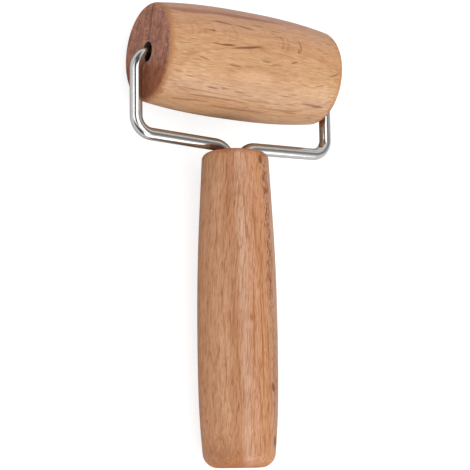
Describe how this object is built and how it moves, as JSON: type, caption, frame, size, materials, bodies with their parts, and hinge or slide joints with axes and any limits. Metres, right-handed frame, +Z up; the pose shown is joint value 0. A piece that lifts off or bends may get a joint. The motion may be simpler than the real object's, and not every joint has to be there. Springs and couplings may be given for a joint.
{
  "type": "rolling pin",
  "caption": "Handheld pastry and pizza dough roller: a crowned beech roller turns freely on a bent stainless wire frame set in a turned beech handle.",
  "frame": {"origin": "on the table, under the middle of the footprint, with the tool lying on its roller and on the belly of its handle", "axes": "+X along the roller's axis, +Y from the handle towards the roller, +Z up from the table"},
  "size_m": [0.1042, 0.2022, 0.0484],
  "materials": {
    "roller_beech": "sanded and lightly oiled, satin, with short dark flecks along the grain and darker end grain",
    "handle_beech": "sanded and lightly oiled, satin, with the grain along the handle",
    "wire_steel": "polished stainless wire, bright and smooth",
    "resin": "cured resin adhesive, amber and slightly glossy"
  },
  "bodies": {
    "handle_and_frame": {"handle": "handle_beech", "wire_frame": "wire_steel", "socket_resin": "resin"},
    "roller": {"roller": "roller_beech"}
  },
  "joints": [
    {"name": "roller_spin", "type": "hinge", "parent": "handle_and_frame", "child": "roller", "pos_m": [0, 0.07691, 0.02422], "axis": [1, 0, 0], "continuous": true}
  ]
}
